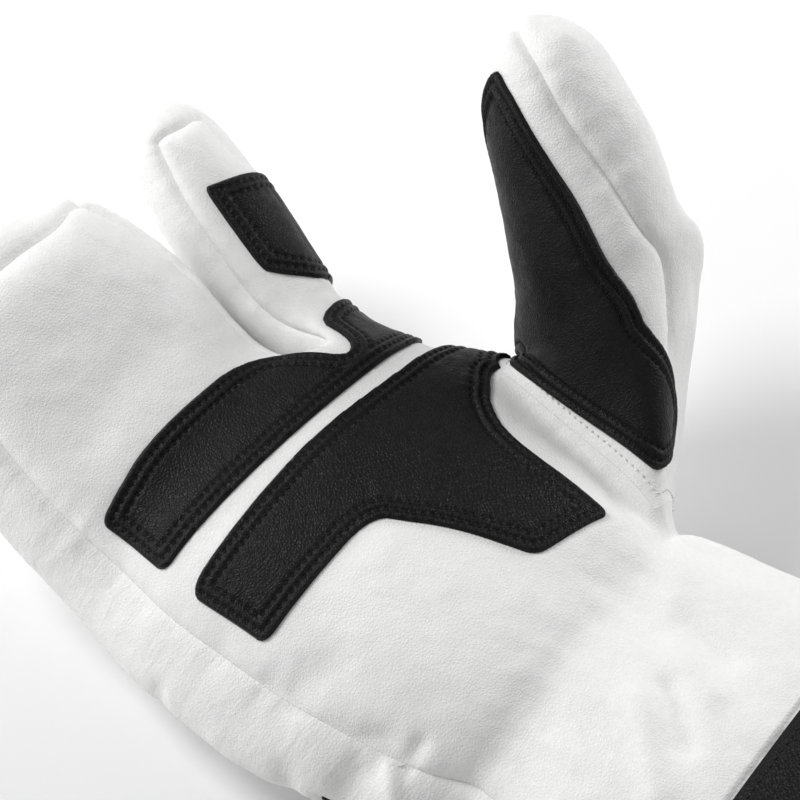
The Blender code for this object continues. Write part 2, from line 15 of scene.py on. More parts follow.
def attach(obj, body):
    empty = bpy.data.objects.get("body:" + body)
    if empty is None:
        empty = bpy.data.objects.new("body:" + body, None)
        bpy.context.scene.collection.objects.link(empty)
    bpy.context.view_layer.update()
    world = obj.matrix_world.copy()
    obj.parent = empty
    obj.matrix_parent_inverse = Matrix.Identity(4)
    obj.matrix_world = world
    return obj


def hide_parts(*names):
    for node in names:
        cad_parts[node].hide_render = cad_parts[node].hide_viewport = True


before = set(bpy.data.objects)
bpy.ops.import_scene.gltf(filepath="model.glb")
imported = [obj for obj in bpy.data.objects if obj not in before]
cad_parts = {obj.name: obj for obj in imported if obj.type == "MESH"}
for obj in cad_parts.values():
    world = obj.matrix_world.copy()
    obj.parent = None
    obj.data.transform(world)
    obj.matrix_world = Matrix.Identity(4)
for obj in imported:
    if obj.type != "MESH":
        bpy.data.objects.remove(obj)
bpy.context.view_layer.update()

MM = 0.001

# Hand
PALM_LENGTH = 108.0  # wrist seam to the crotch beside the index finger
PALM_WIDTH = 126.0
PALM_DEPTH = 58.0
WRIST_WIDTH = 96.0
WRIST_DEPTH = 50.0
MIDDLE_HEIGHT = 27.0  # middle of the hand above the table
SIDE_BULGE = 0.13  # share of the half width that the little-finger side stands further out
SIDE_SAG = 0.10  # share of the half depth that this bulge hangs down
SQUARENESS = 2.5  # exponent of the rounded sections

# Fingers
MITTEN_LENGTH = 98.0
MITTEN_WIDTH = 82.0
MITTEN_DEPTH = 52.0
INDEX_LENGTH = 94.0
INDEX_WIDTH = 32.0
INDEX_DEPTH = 38.0
INDEX_INSET = 14.0  # how far the index finger's middle line starts inside the palm's widest
MITTEN_INSET = 2.0  # the same for the mitten
THUMB_LENGTH = 138.0
THUMB_WIDTH = 43.0

# Cuff
CUFF_LENGTH = 64.0
CUFF_WIDTH = 120.0
CUFF_DEPTH = 66.0
HEM_WIDTH = 16.0
HEM_STEP = 0.01  # share of the cuff's flare by which the hem stands further out
WRIST_GATHER = 0.07  # share of the half depth that every second column is gathered in at the wrist

# Leather
WALL = 3.0  # shell leather with its padding

# Columns of the hand's sections: share of the half width from little-finger side to thumb side
PALM_COLUMNS = (-0.93, -0.62, -0.21, 0.20, 0.58, 0.77, 0.93)
PALM_PATTERN = (-1.0, -0.66, -0.23, 0.21, 0.60, 0.80, 1.0)
SIDE_PATTERN = 1.36
BACK_PATTERN = 1.72
MITTEN_COLUMNS = (-0.90, -0.52, 0.0, 0.52, 0.90)
INDEX_COLUMNS = (-0.75, 0.0, 0.75)
CROTCH_COLUMN = 4
HAND_COLUMNS = 2 * len(PALM_COLUMNS) + 2
THUMB_COLUMNS = 12

# Rows of the hand from wrist to crotch
HAND_ROWS = (
    # length, width, depth, shift to the thumb side, as shares
    (0.10, 0.84, 0.92, 0.00),
    (0.30, 0.93, 1.00, 0.00),
    (0.48, 0.98, 1.02, 0.00),
    (0.64, 1.00, 1.00, 0.01),
    (0.82, 0.92, 0.98, -0.07),
    (1.00, 0.86, 0.93, -0.09),
)
THUMB_ROWS_ON_HAND = (1, 4)  # rows between which the thumb is set in
THUMB_COLUMNS_ON_HAND = (5, 8)
CUFF_ROWS_ON_BACK = 2  # rows of the hand that the cuff covers on its back

# Rows of the cuff from wrist to mouth
CUFF_ROWS = (
    # length, share of the way from the wrist's section to the mouth's
    (0.30, 0.42),
    (0.66, 0.85),
)

# Rows of a finger from crotch to tip
MITTEN_ROWS = (
    # length, width, depth, as shares
    (0.20, 1.00, 1.00), (0.45, 0.98, 0.95), (0.70, 0.89, 0.86), (0.90, 0.66, 0.60),
)
INDEX_ROWS = ((0.22, 0.86, 1.00), (0.48, 0.97, 0.98), (0.73, 0.94, 0.90), (0.92, 0.70, 0.64))
THUMB_ROWS = (
    # length, width, depth, how much more the web and how much less the heel stands out, as shares
    (0.40, 1.12, 1.10, 0.45, 0.35),
    (0.54, 1.08, 1.05, 0.15, 0.10),
    (0.68, 1.01, 0.97, 0.00, 0.00),
    (0.82, 0.89, 0.84, 0.00, 0.00),
    (0.94, 0.64, 0.57, 0.00, 0.00),
)

# How each finger points: share of its length, degrees from straight ahead to the thumb side, degrees up
MITTEN_HEADINGS = ((0.0, 2.0, 8.0), (0.4, 3.0, 27.0), (1.0, 3.0, 50.0))
INDEX_HEADINGS = ((0.0, 7.0, 6.0), (0.35, 11.0, 22.0), (1.0, 12.0, 46.0))
THUMB_HEADINGS = ((0.0, 78.0, 26.0), (0.35, 26.0, 38.0), (1.0, 14.0, 52.0))
THUMB_START = (0.76, 0.18)  # shares of the half width and of the palm's length
THUMB_TWIST = (-45.0, 52.0)  # degrees that the thumb's seams are turned at its root and at its tip
SPINE_STEPS = 48
TIP_DROP = 0.2  # share of the mitten's length that the middle of its tip stands past the corners
THUMB_INNER_COLUMNS = (11, 0, 1, 2, 3)
THUMB_BREAK = 7  # column where the thumb's chart ends
THUMB_FIRST = 1.5  # columns between the first one and the middle of the thumb's palm side
THUMB_TIP = (0.99, 0.22)  # share of the thumb's length, and of its half width, of its tip's four points

# Reinforcements: across and along the chart, then the share of each side that the corner rounds
INDEX_PATCH = (
    (0.73, 1.33, 0.20), (0.72, 1.62, 0.15), (0.88, 1.60, 0.30), (1.45, 1.52, 0.30),
    (1.45, 1.21, 0.30), (0.94, 1.21, 0.30), (0.80, 1.28, 0.40),
)
KNUCKLE_PATCH = (
    (-0.86, 0.87, 0.12), (-0.88, 1.10, 0.12), (-0.40, 1.18, 0.40), (0.36, 1.19, 0.40),
    (0.50, 0.92, 0.45), (0.64, 0.92, 0.40), (0.74, 1.12, 0.45), (1.45, 1.14, 0.30),
    (1.45, 0.88, 0.30), (0.85, 0.84, 0.30), (0.30, 0.845, 0.50), (-0.30, 0.86, 0.50),
)
PALM_PATCH = (
    (-0.86, 0.795, 0.15), (-0.86, 0.57, 0.12), (-0.20, 0.57, 0.25), (-0.03, 0.42, 0.40),
    (0.12, 0.225, 0.15), (0.53, 0.165, 0.12), (0.50, 0.40, 0.40), (0.53, 0.54, 0.50),
    (0.76, 0.63, 0.45), (1.40, 0.68, 0.30), (1.40, 0.78, 0.30), (0.60, 0.79, 0.40),
    (0.00, 0.82, 0.50),
)
THUMB_PATCH = (
    (0.16, 0.95, 0.40), (0.27, 0.84, 0.40), (0.26, 0.62, 0.40), (0.14, 0.42, 0.40),
    (0.48, 0.20, 0.35), (0.42, 0.09, 0.35), (0.05, 0.075, 0.40), (-0.25, 0.09, 0.40),
    (-0.56, 0.14, 0.35), (-0.52, 0.45, 0.40), (-0.22, 0.80, 0.40),
)

# Meshes
FITTING_STEPS = 6
WALL_SMOOTHING = 6  # rounds that even out the wall's direction at creases
CORNER_STEPS = 5
SHARP_ANGLE = 40.0


def on_section(across, half_depth):
    """Height of a rounded section's wall at a share of its half width."""
    return half_depth * (1 - min(abs(across), 1.0) ** SQUARENESS) ** (1 / SQUARENESS)


def unit(vector):
    return np.asarray(vector) / np.linalg.norm(vector)


def heading(azimuth, elevation):
    """Unit vector at degrees from +Y towards +X, and degrees up."""
    a, e = np.radians(azimuth), np.radians(elevation)
    return np.array([np.sin(a) * np.cos(e), np.cos(a) * np.cos(e), np.sin(e)])


def between(rows, marks, mark):
    """The rows interpolated at a mark."""
    return np.array([np.interp(mark, marks, rows[:, k]) for k in range(3)])


class Spine:
    """The middle line of a finger, which turns as its headings say."""

    def __init__(self, start, length, headings):
        self.headings = np.array(headings).T
        ways = [self.ways(share) for share in (np.arange(SPINE_STEPS) + 0.5) / SPINE_STEPS]
        self.points = np.vstack([start, start + np.cumsum(ways, axis=0) * length / SPINE_STEPS])

    def ways(self, share):
        shares, azimuths, elevations = self.headings
        return heading(np.interp(share, shares, azimuths), np.interp(share, shares, elevations))

    def at(self, share):
        return between(self.points, np.linspace(0, 1, SPINE_STEPS + 1), share)


class Cage:
    """Quads between points. Each point holds its place and its spot on the flat patterns."""

    def __init__(self):
        self.points = []
        self.quads = []
        self.panels = []
        self.charts = []

    def point(self, place, palm_spot, thumb_spot=(0, 0)):
        self.points.append((*place, *palm_spot, *thumb_spot))
        return len(self.points) - 1

    def quad(self, panel, chart, *corners):
        self.quads.append(corners)
        self.panels.append(panel)
        self.charts.append(chart)


def hand_ring(cage, y, width, depth, along, shift=0.0, gather=0.0):
    """Points round the hand: palm columns, thumb side, back columns, little-finger side."""
    half_width, half_depth = width / 2, depth / 2
    places = []
    for across, spot in zip(PALM_COLUMNS, PALM_PATTERN):
        places.append((across, on_section(across, half_depth), spot))
    places.append((1.0, 0.0, SIDE_PATTERN))
    for across, spot in reversed(list(zip(PALM_COLUMNS, PALM_PATTERN))):
        back_spot = BACK_PATTERN + (1 - spot)
        places.append((across, -on_section(across, half_depth), back_spot))
    across, height, spot = places.pop()
    places.append((across - SIDE_BULGE / 2, height, spot))
    places.append((-1.0 - SIDE_BULGE, -half_depth * SIDE_SAG, -SIDE_PATTERN))
    ring = []
    for k, (across, height, spot) in enumerate(places):
        z = MIDDLE_HEIGHT + height * (1 - gather * (k % 2))
        ring.append(cage.point((shift + across * half_width, y, z), (spot, along)))
    return ring


def finger_ring(cage, spine, columns, row, size, spots, bulge):
    """Points round a finger: palm columns, thumb side, back columns, little-finger side."""
    share, width_share, depth_share = row
    width, depth, length = size
    centre, way = spine.at(share), spine.ways(share)
    side = unit(np.cross(way, (0, 0, 1)))
    up = np.cross(side, way)
    half_width, half_depth = width * width_share / 2, depth * depth_share / 2
    shape = [(c, on_section(c, half_depth)) for c in columns]
    shape.append((1.0, 0.0))
    shape += [(c, -on_section(c, half_depth)) for c in reversed(columns)]
    shape.append((-1.0 - bulge, -half_depth * bulge))
    along = 1 + share * length / PALM_LENGTH
    return [
        cage.point(centre + side * across * half_width + up * height, (spot, along))
        for (across, height), spot in zip(shape, spots)
    ]


def cap(cage, rows, centres, panel):
    """Closes a tube's end by a grid: the first and last rows are whole, those between lack their insides."""
    grid = [rows[0]]
    for row, middle in zip(rows[1:-1], centres):
        grid.append([row[0], *middle, row[1]])
    grid.append(rows[-1])
    for upper, lower in zip(grid, grid[1:]):
        for k in range(len(upper) - 1):
            cage.quad(panel, None, upper[k], upper[k + 1], lower[k + 1], lower[k])


def tube(cage, ring, next_ring, panels, charts):
    """Quads between two rings, each with its panel and chart. A panel of None leaves a hole."""
    count = len(ring)
    for k in range(count):
        if panels[k]:
            n = (k + 1) % count
            cage.quad(panels[k], charts[k], ring[k], ring[n], next_ring[n], next_ring[k])


def hand_panel(row, column):
    """Sewn panel of the hand between two columns, or None inside the thumb's hole."""
    first_row, end_row = THUMB_ROWS_ON_HAND
    first_column, end_column = THUMB_COLUMNS_ON_HAND
    if first_row <= row < end_row and first_column <= column < end_column:
        return None
    if column < 6:
        return "palm_panel"
    if row >= end_row and column < 8:
        return "fourchette"
    if column == 15:
        return "side_gusset"
    if column == end_column and row == first_row:
        return "back_panel"
    if row < CUFF_ROWS_ON_BACK:
        return "palm_panel" if column == 6 else "cuff"
    return "back_panel" if column < 14 else "side_gusset"


def build_hand(cage):
    """Cuff and palm. Returns the rings from wrist to crotch."""
    wrist_y = -PALM_LENGTH / 2
    hem_start = 1 - HEM_WIDTH / CUFF_LENGTH
    cuff_rows = ((1.0, 1.0), (hem_start, 1 - HEM_STEP), *reversed(CUFF_ROWS), (0.0, 0.0))
    rings = []
    for length, way in cuff_rows:
        width = WRIST_WIDTH + (CUFF_WIDTH - WRIST_WIDTH) * way
        depth = WRIST_DEPTH + (CUFF_DEPTH - WRIST_DEPTH) * way
        gather = WRIST_GATHER * (1 - way)
        rings.append(hand_ring(cage, wrist_y - CUFF_LENGTH * length, width, depth, -length, 0.0, gather))
    tube(cage, rings[0], rings[1], ("cuff_hem",) * HAND_COLUMNS, (None,) * HAND_COLUMNS)
    cuff_panels = ("palm_panel",) * 7 + ("cuff",) * 8 + ("side_gusset",)
    charts = ("palm",) * (HAND_COLUMNS - 2) + (None,) * 2
    for lower, upper in zip(rings[1:], rings[2:]):
        tube(cage, lower, upper, cuff_panels, charts)
    hand = [rings[-1]]
    for length, width, depth, shift in HAND_ROWS:
        y = wrist_y + PALM_LENGTH * length
        hand.append(
            hand_ring(cage, y, PALM_WIDTH * width, PALM_DEPTH * depth, length, PALM_WIDTH / 2 * shift)
        )
    for row, (lower, upper) in enumerate(zip(hand, hand[1:])):
        tube(cage, lower, upper, [hand_panel(row, k) for k in range(HAND_COLUMNS)], charts)
    return hand


def build_finger(cage, first, x, size, headings, columns, rows, spots, panels, charts, bulge=0.0):
    """A finger's tube from its first ring. Returns its spine and its last ring."""
    spine = Spine(np.array([x, PALM_LENGTH / 2, MIDDLE_HEIGHT]), size[2], headings)
    rings = [first] + [finger_ring(cage, spine, columns, row, size, spots, bulge) for row in rows]
    for lower, upper in zip(rings, rings[1:]):
        tube(cage, lower, upper, panels, charts)
    return spine, rings[-1]


def build_mitten(cage, crotch_ring, bridge):
    first = [*crotch_ring[:5], bridge, *crotch_ring[10:]]
    x = (MITTEN_WIDTH - PALM_WIDTH) / 2 + MITTEN_INSET
    palm_spots = PALM_PATTERN[:5]
    back_spots = [BACK_PATTERN + 1 - s for s in reversed(palm_spots)]
    spots = (*palm_spots, PALM_PATTERN[4], *back_spots, -SIDE_PATTERN)
    size = (MITTEN_WIDTH, MITTEN_DEPTH, MITTEN_LENGTH)
    panels = ("palm_panel",) * 4 + ("fourchette",) * 2 + ("back_panel",) * 4 + ("side_gusset",) * 2
    charts = ("palm",) * 4 + (None,) * 2 + ("palm",) * 4 + (None,) * 2
    shape = (size, MITTEN_HEADINGS, MITTEN_COLUMNS, MITTEN_ROWS, spots, panels, charts, SIDE_BULGE)
    spine, last = build_finger(cage, first, x, *shape)
    side = unit(np.cross(spine.ways(1.0), (0, 0, 1)))
    half_width = MITTEN_WIDTH / 2 * MITTEN_ROWS[-1][1]
    middles = [
        cage.point(spine.at(1.0 - TIP_DROP * c * c) + side * c * half_width, (s, 2.0))
        for c, s in zip(MITTEN_COLUMNS[1:4], PALM_PATTERN[1:4])
    ]
    cap(cage, [last[0:5], (last[11], last[5]), last[10:5:-1]], [middles], "side_gusset")


def build_index(cage, crotch_ring, bridge):
    first = [*crotch_ring[4:11], bridge]
    x = (PALM_WIDTH - INDEX_WIDTH) / 2 - INDEX_INSET
    palm_spots = PALM_PATTERN[4:]
    back_spots = [BACK_PATTERN + 1 - s for s in reversed(palm_spots)]
    spots = (*palm_spots, SIDE_PATTERN, *back_spots, PALM_PATTERN[4])
    size = (INDEX_WIDTH, INDEX_DEPTH, INDEX_LENGTH)
    panels = ("palm_panel",) * 2 + ("fourchette",) * 2 + ("back_panel",) * 2 + ("fourchette",) * 2
    charts = ("palm",) * 6 + (None,) * 2
    shape = (size, INDEX_HEADINGS, INDEX_COLUMNS, INDEX_ROWS, spots, panels, charts)
    spine, last = build_finger(cage, first, x, *shape)
    middle = cage.point(spine.at(1.0), (PALM_PATTERN[5], 2.0))
    cap(cage, [last[0:3], (last[7], last[3]), last[6:3:-1]], [[middle]], "fourchette")


def thumb_loop(cage, hand):
    """The points of the hole in the hand that the thumb is set into, one for each of its columns."""
    first_row, end_row = THUMB_ROWS_ON_HAND
    first, end = THUMB_COLUMNS_ON_HAND
    rows = range(first_row, end_row + 1)
    loop = [hand[r][first] for r in rows]
    loop += [hand[end_row][c] for c in range(first + 1, end + 1)]
    loop += [hand[r][end] for r in reversed(rows[:-1])]
    loop += [hand[first_row][c] for c in range(end - 1, first, -1)]
    for k, index in enumerate(loop):
        cage.points[index] = (*cage.points[index][:5], thumb_spot(k), 0.0)
    return loop


def thumb_spot(k):
    """Share of half a turn round the thumb from its palm side, for one of its columns."""
    turn = (THUMB_FIRST - k) * 2 / THUMB_COLUMNS
    return turn + 2 if turn < -1 else turn


def thumb_turn(k, twist):
    """Angle of one of the thumb's columns round its spine, with the twist in degrees."""
    return 2 * np.pi * (k - THUMB_FIRST) / THUMB_COLUMNS + np.radians(twist)


def build_thumb(cage, hand):
    loop = thumb_loop(cage, hand)
    across, along = THUMB_START
    start = np.array([across * PALM_WIDTH / 2, (along - 0.5) * PALM_LENGTH, MIDDLE_HEIGHT])
    spine = Spine(start, THUMB_LENGTH, THUMB_HEADINGS)
    rings = [loop]
    for share, width, depth, web, heel in THUMB_ROWS:
        way = spine.ways(share)
        far = unit(np.array((0, 1, 0)) - way[1] * way)
        palm = np.cross(way, far)
        twist = np.interp(share, (0, 1), THUMB_TWIST)
        ring = []
        for k in range(THUMB_COLUMNS):
            turn = thumb_turn(k, twist)
            reach = width * (1 + (web if np.sin(turn) > 0 else -heel) * np.sin(turn) ** 2)
            off = palm * np.cos(turn) * depth + far * np.sin(turn) * reach
            ring.append(cage.point(spine.at(share) + off * THUMB_WIDTH / 2, (0, 0), (thumb_spot(k), share)))
        rings.append(ring)
    for lower, upper in zip(rings, rings[1:]):
        for k in range(THUMB_COLUMNS):
            n = (k + 1) % THUMB_COLUMNS
            panel = "thumb_inner" if k in THUMB_INNER_COLUMNS else "thumb_outer"
            chart = "thumb" if k != THUMB_BREAK else None
            cage.quad(panel, chart, lower[k], upper[k], upper[n], lower[n])
    last = rings[-1]
    inner = []
    tip, reach = THUMB_TIP
    for k in (0, 3, 6, 9):
        turn = thumb_turn(k, THUMB_TWIST[1])
        off = palm * np.cos(turn) + far * np.sin(turn)
        inner.append(cage.point(spine.at(tip) + off * THUMB_WIDTH / 2 * reach, (0, 0), (0, 1)))
    grid = (
        last[:4],
        (last[11], inner[0], inner[1], last[4]),
        (last[10], inner[3], inner[2], last[5]),
        last[9:5:-1],
    )
    for panel, upper, lower in zip(("thumb_inner", "thumb_outer", "thumb_outer"), grid, grid[1:]):
        for k in range(3):
            cage.quad(panel, None, upper[k], lower[k], lower[k + 1], upper[k + 1])


def build_cage():
    cage = Cage()
    hand = build_hand(cage)
    crotch = hand[-1]
    x = cage.points[crotch[CROTCH_COLUMN]][0]
    bridge = cage.point((x, PALM_LENGTH / 2, MIDDLE_HEIGHT), (PALM_PATTERN[CROTCH_COLUMN], 1.0))
    build_mitten(cage, crotch, bridge)
    build_index(cage, crotch, bridge)
    build_thumb(cage, hand)
    return cage


def sides_of(faces):
    """Directed sides of the faces, one after each corner."""
    return np.stack([faces, np.roll(faces, -1, axis=1)], axis=2).reshape(-1, 2)


def edges_of(faces):
    """Edges of the faces, and the edge that follows each corner."""
    edges, index = np.unique(np.sort(sides_of(faces), axis=1), axis=0, return_inverse=True)
    return edges, index.reshape(faces.shape)


def summed(size, index, values):
    """Sum of the values that fall on each index."""
    total = np.zeros((size, values.shape[1]))
    np.add.at(total, index, values)
    return total


def neighbours(points, edges):
    """Sum of each point's neighbours along the edges."""
    starts, ends = edges.T
    return summed(len(points), starts, points[ends]) + summed(len(points), ends, points[starts])


def units(rows):
    return rows / np.linalg.norm(rows, axis=1, keepdims=True)


def rim_sum(points, edges, sides):
    """Sum of each rim point's two neighbours along the rim, and which points lie on it."""
    rim = edges[np.bincount(sides.ravel(), minlength=len(edges)) == 1]
    on_rim = np.zeros(len(points), bool)
    on_rim[rim.ravel()] = True
    return neighbours(points, rim), on_rim


def subdivide(points, spots, quads):
    """One Catmull-Clark step. The spots are only halved, so that they stay true on each face."""
    edges, sides = edges_of(quads)
    size = len(points)
    centres = points[quads].mean(axis=1)
    middles = points[edges].mean(axis=1)
    beside = summed(len(edges), sides.ravel(), np.repeat(centres, 4, axis=0))
    inside = np.bincount(sides.ravel(), minlength=len(edges)) == 2
    on_edges = np.where(inside[:, None], (2 * middles + beside) / 4, middles)
    valence = np.bincount(quads.ravel(), minlength=size)[:, None]
    around = summed(size, quads.ravel(), np.repeat(centres, 4, axis=0)) / valence
    spokes = summed(size, edges.ravel(), np.repeat(middles, 2, axis=0)) / valence
    moved = (around + 2 * spokes + (valence - 3) * points) / valence
    along_rim, on_rim = rim_sum(points, edges, sides)
    moved[on_rim] = points[on_rim] * 0.75 + along_rim[on_rim] / 8
    new_spots = np.vstack([spots, spots[edges].mean(axis=1), spots[quads].mean(axis=1)])
    side_points = size + sides
    centre_points = (size + len(edges) + np.arange(len(quads)))[:, None].repeat(4, axis=1)
    children = np.stack([quads, side_points, centre_points, np.roll(side_points, 1, axis=1)], axis=2)
    return np.vstack([moved, on_edges, centres]), new_spots, children.reshape(-1, 4)


def limit(points, quads):
    """Where each point would lie after endless Catmull-Clark steps."""
    edges, sides = edges_of(quads)
    size = len(points)
    valence = np.bincount(quads.ravel(), minlength=size)[:, None]
    near = neighbours(points, edges)
    opposite = summed(size, quads.ravel(), points[np.roll(quads, -2, axis=1).ravel()])
    placed = (valence**2 * points + 4 * near + opposite) / (valence * (valence + 5))
    along_rim, on_rim = rim_sum(points, edges, sides)
    placed[on_rim] = (4 * points[on_rim] + along_rim[on_rim]) / 6
    return placed


class Surface:
    """The hand's outer surface in triangles, through every point of the cage."""

    def __init__(self, cage, levels):
        used, index = np.unique(np.array(cage.quads), return_inverse=True)
        quads = index.reshape(-1, 4)
        rows = np.array(cage.points)[used]
        targets, spots = rows[:, :3], rows[:, 3:]
        points = targets.copy()
        for _ in range(FITTING_STEPS):
            points += targets - limit(points, quads)
        for _ in range(levels):
            points, spots, quads = subdivide(points, spots, quads)
        points = limit(points, quads)
        points[:, 2] = np.maximum(points[:, 2], 0)
        self.points = points
        self.spots = spots
        self.triangles = np.stack([quads[:, [0, 1, 2]], quads[:, [0, 2, 3]]], axis=1).reshape(-1, 3)
        repeat = 2 * 4**levels
        self.panels = np.repeat(np.array(cage.panels), repeat)
        self.charts = np.repeat(np.array([chart or "" for chart in cage.charts]), repeat)
        a, b, c = (points[self.triangles[:, k]] for k in range(3))
        across = np.cross(b - a, c - a)
        normals = summed(len(points), self.triangles.ravel(), np.repeat(across, 3, axis=0))
        self.normals = units(normals)
        self.edges = edges_of(self.triangles)[0]
        self.wall_ways = self.normals
        for _ in range(WALL_SMOOTHING):
            self.wall_ways = units(neighbours(self.wall_ways, self.edges))


def border_of(triangles):
    """Directed edges that have a triangle on one side only."""
    seen = {tuple(side) for side in sides_of(triangles).tolist()}
    return [side for side in seen if side[::-1] not in seen]


def drawn_in(points, normals, triangles, distance):
    """The points, with those on the border moved this far into the piece."""
    inward = {}
    for start, end in border_of(triangles):
        normal = normals[start] + normals[end]
        way = unit(np.cross(normal, points[end] - points[start]))
        inward.setdefault(start, []).append(way)
        inward.setdefault(end, []).append(way)
    moved = points.copy()
    for index, ways in inward.items():
        total = sum(ways)
        moved[index] += total * distance * len(ways) / max(total @ total, 1.0)
    return moved


def rounded(corners):
    """A closed outline with each corner rounded over its own share of the sides beside it."""
    spots = np.array([corner[:2] for corner in corners])
    outline = []
    for k, (*_, share) in enumerate(corners):
        start = spots[k] + (spots[k - 1] - spots[k]) * share
        end = spots[k] + (spots[(k + 1) % len(spots)] - spots[k]) * share
        for t in np.linspace(0, 1, CORNER_STEPS, endpoint=False) + 0.5 / CORNER_STEPS:
            outline.append((1 - t) ** 2 * start + 2 * t * (1 - t) * spots[k] + t**2 * end)
    return np.array(outline)


def inside(outline, spots):
    """Which spots lie inside the closed outline."""
    found = np.zeros(len(spots), bool)
    for a, b in zip(outline, np.roll(outline, -1, axis=0)):
        crosses = (a[1] > spots[:, 1]) != (b[1] > spots[:, 1])
        slope = (b[0] - a[0]) / (b[1] - a[1] if b[1] != a[1] else 1.0)
        found ^= crosses & (spots[:, 0] < a[0] + slope * (spots[:, 1] - a[1]))
    return found


# Relief of the white leather, in millimetres where nothing else is said
DETAIL_LEVELS = 4  # Catmull-Clark steps
SEAM_DEPTH, SEAM_REACH = 1.5, 1.6
PUFF_DEPTH, PUFF_REACH = 1.2, 5.0  # the wider hollow beside a seam
SKIN_GAP, LINING_GAP = 0.02, 0.15  # how far a panel ends before the seam, outside and inside
SEAM_PLAIN = 6.0  # how far from a seam swells and creases start
SWELL, SWELL_SCALE = 0.55, 24.0
CREASE, CREASE_SCALE = 0.16, 5.0
PUCKER, PUCKER_SCALE, PUCKER_REACH = 0.8, 5.0, 5.0  # small waves beside the seams
GATHER, GATHER_PITCH, GATHER_REACH = 0.75, 9.5, 14.0  # at the wrist
GATHER_LEAN = 0.8  # how much they slant with the height
GATHER_DRIFT, GATHER_SCALE = 2.0, 20.0  # radians that they wander, and over what distance
GATHER_ON_PALM = 0.15  # share of their height on the palm side
RIDGE_HEIGHT, RIDGE_WIDTH = 0.35, 1.8  # the rolled seam at the thumb's root
DEEPEST = 2.4
WAVE_FADE, WAVE_STEP, WAVE_OCTAVES = 0.9, 2.1, 2

# Reinforcements and stitches, in millimetres where nothing else is said
PATCH_BASE = 0.2  # clear of the leather below
PATCH_THICK, PATCH_THINNEST = 1.15, 0.1
PATCH_EDGE = 0.9  # radius of the rounded edge
PATCH_GRID = 0.5
RIM_STEP, OUTLINE_STEP = 0.25, 0.5  # between the points that distances are measured to
RIM_CLEAR = 0.7  # share of the grid's pitch that it keeps off the rim
CUT_TOLERANCE = 1e-7
SLIVER = 5e-5  # square millimetres under which a triangle is left out
ROW_DISTANCES = (2.3, 4.9)  # the two stitch rows, from the patch's edge
ROW_DEPTH, ROW_WIDTH = 0.28, 0.62
ROW_RIDGE, ROW_RIDGE_WIDTH = 0.17, 0.8  # the leather between the two rows
ROW_EVENING = 6  # rounds that even out a topstitched row
SHORTEST_ROW = 8  # points
PIT_DEPTH, PIT_WIDTH = 0.5, 0.55  # where a stitch pulls the leather in
PATCH_PUCKER, PATCH_PUCKER_SCALE = 0.16, 2.4
PATCH_PUCKER_PLACE, PATCH_PUCKER_WIDTH = 6.2, 2.4  # distance from the edge, and width of the band
PATCH_SWELL, PATCH_SWELL_SCALE, PATCH_SWELL_START = 0.14, 9.0, 6.0
PATCH_HOLD = 4.5  # how far round itself a patch holds the leather flat
PATCH_CALM = 0.8  # share of the relief that this takes away
STITCH_PITCH, THUMB_PITCH, ROOT_PITCH = 2.3, 1.6, 2.0
ROOT_DISTANCE, HEM_DISTANCE = 3.0, 2.5  # rows from the seams at the thumb's root and at the hem
STITCH_RADIUS = 0.27
STITCH_SHARE = 0.62  # a stitch's length as a share of the pitch
STITCH_RINGS = ((-0.5, 0.3), (-0.34, 0.85), (0.0, 1.0), (0.34, 0.85), (0.5, 0.3))  # place, share of radius
STITCH_SIDES = 6
STITCH_DIP = 0.16  # how far its ends go down
STITCH_LIFT = 0.7  # share of its radius that it stands above its pit
STITCH_RISE = 0.08  # middle of a topstitch above the leather
THREAD_SHARP = 80.0

# Folds: start and end on the surface, width and height, all in millimetres
FOLDS = (
    ((-61, -27, 30), (-52, -29, 42), 5.0, -2.6),
    ((-57, -38, 33), (-53, -33, 40), 2.8, 1.7),
    ((-46, -37, 45), (-52, -36, 40), 2.2, -1.3),
    ((-8, -72, 55), (-25, -88, 55), 4.5, 1.7),
    ((-2, -75, 55), (-12, -86, 57), 4.0, -1.8),
    ((8, -70, 56), (2, -84, 56), 4.0, 1.3),
    ((17, -68, 55), (13, -82, 55), 3.6, -1.5),
    ((-56, -3, 42), (-45, -9, 48), 6.5, -1.3),
    ((-71, 28, 28), (-66, 25, 10), 2.6, -1.1),
    ((-69, -12, 30), (-63, -16, 8), 4.0, -1.3),
    ((14, -46, 52), (42, -30, 42), 7.0, -1.3),
    ((22, -62, 52), (46, -50, 38), 5.5, 1.1),
    ((-34, 78, 58), (-8, 82, 62), 7.0, -0.7),
    ((96, -20, 60), (104, 6, 62), 5.0, -1.2),
    ((58, 72, 20), (54, 80, 36), 4.0, -0.9),
)


class Nearest:
    """The nearest of a set of points, in one call for many places."""

    def __init__(self, points):
        self.tree = KDTree(len(points))
        for index, point in enumerate(np.asarray(points).tolist()):
            self.tree.insert(point, index)
        self.tree.balance()

    def __call__(self, places):
        """(distance, index) for each place."""
        found = [self.tree.find(place) for place in np.asarray(places).tolist()]
        return np.array([f[2] for f in found]), np.array([f[1] for f in found])


def wave(points, scale, seed):
    """Soft noise from about -1 to 1 at each point."""
    places = np.asarray(points) / scale + seed
    return np.array([noise.fractal(Vector(p), WAVE_FADE, WAVE_STEP, WAVE_OCTAVES) for p in places.tolist()])


def densified(points, step, places=None):
    """Points along a closed line, at most this far apart, measured between their places."""
    places = points if places is None else places
    rows = []
    for k, start in enumerate(points):
        n = (k + 1) % len(points)
        count = max(int(np.ceil(np.linalg.norm(places[n] - places[k]) / step)), 1)
        rows += [start + (points[n] - start) * j / count for j in range(count)]
    return np.array(rows)


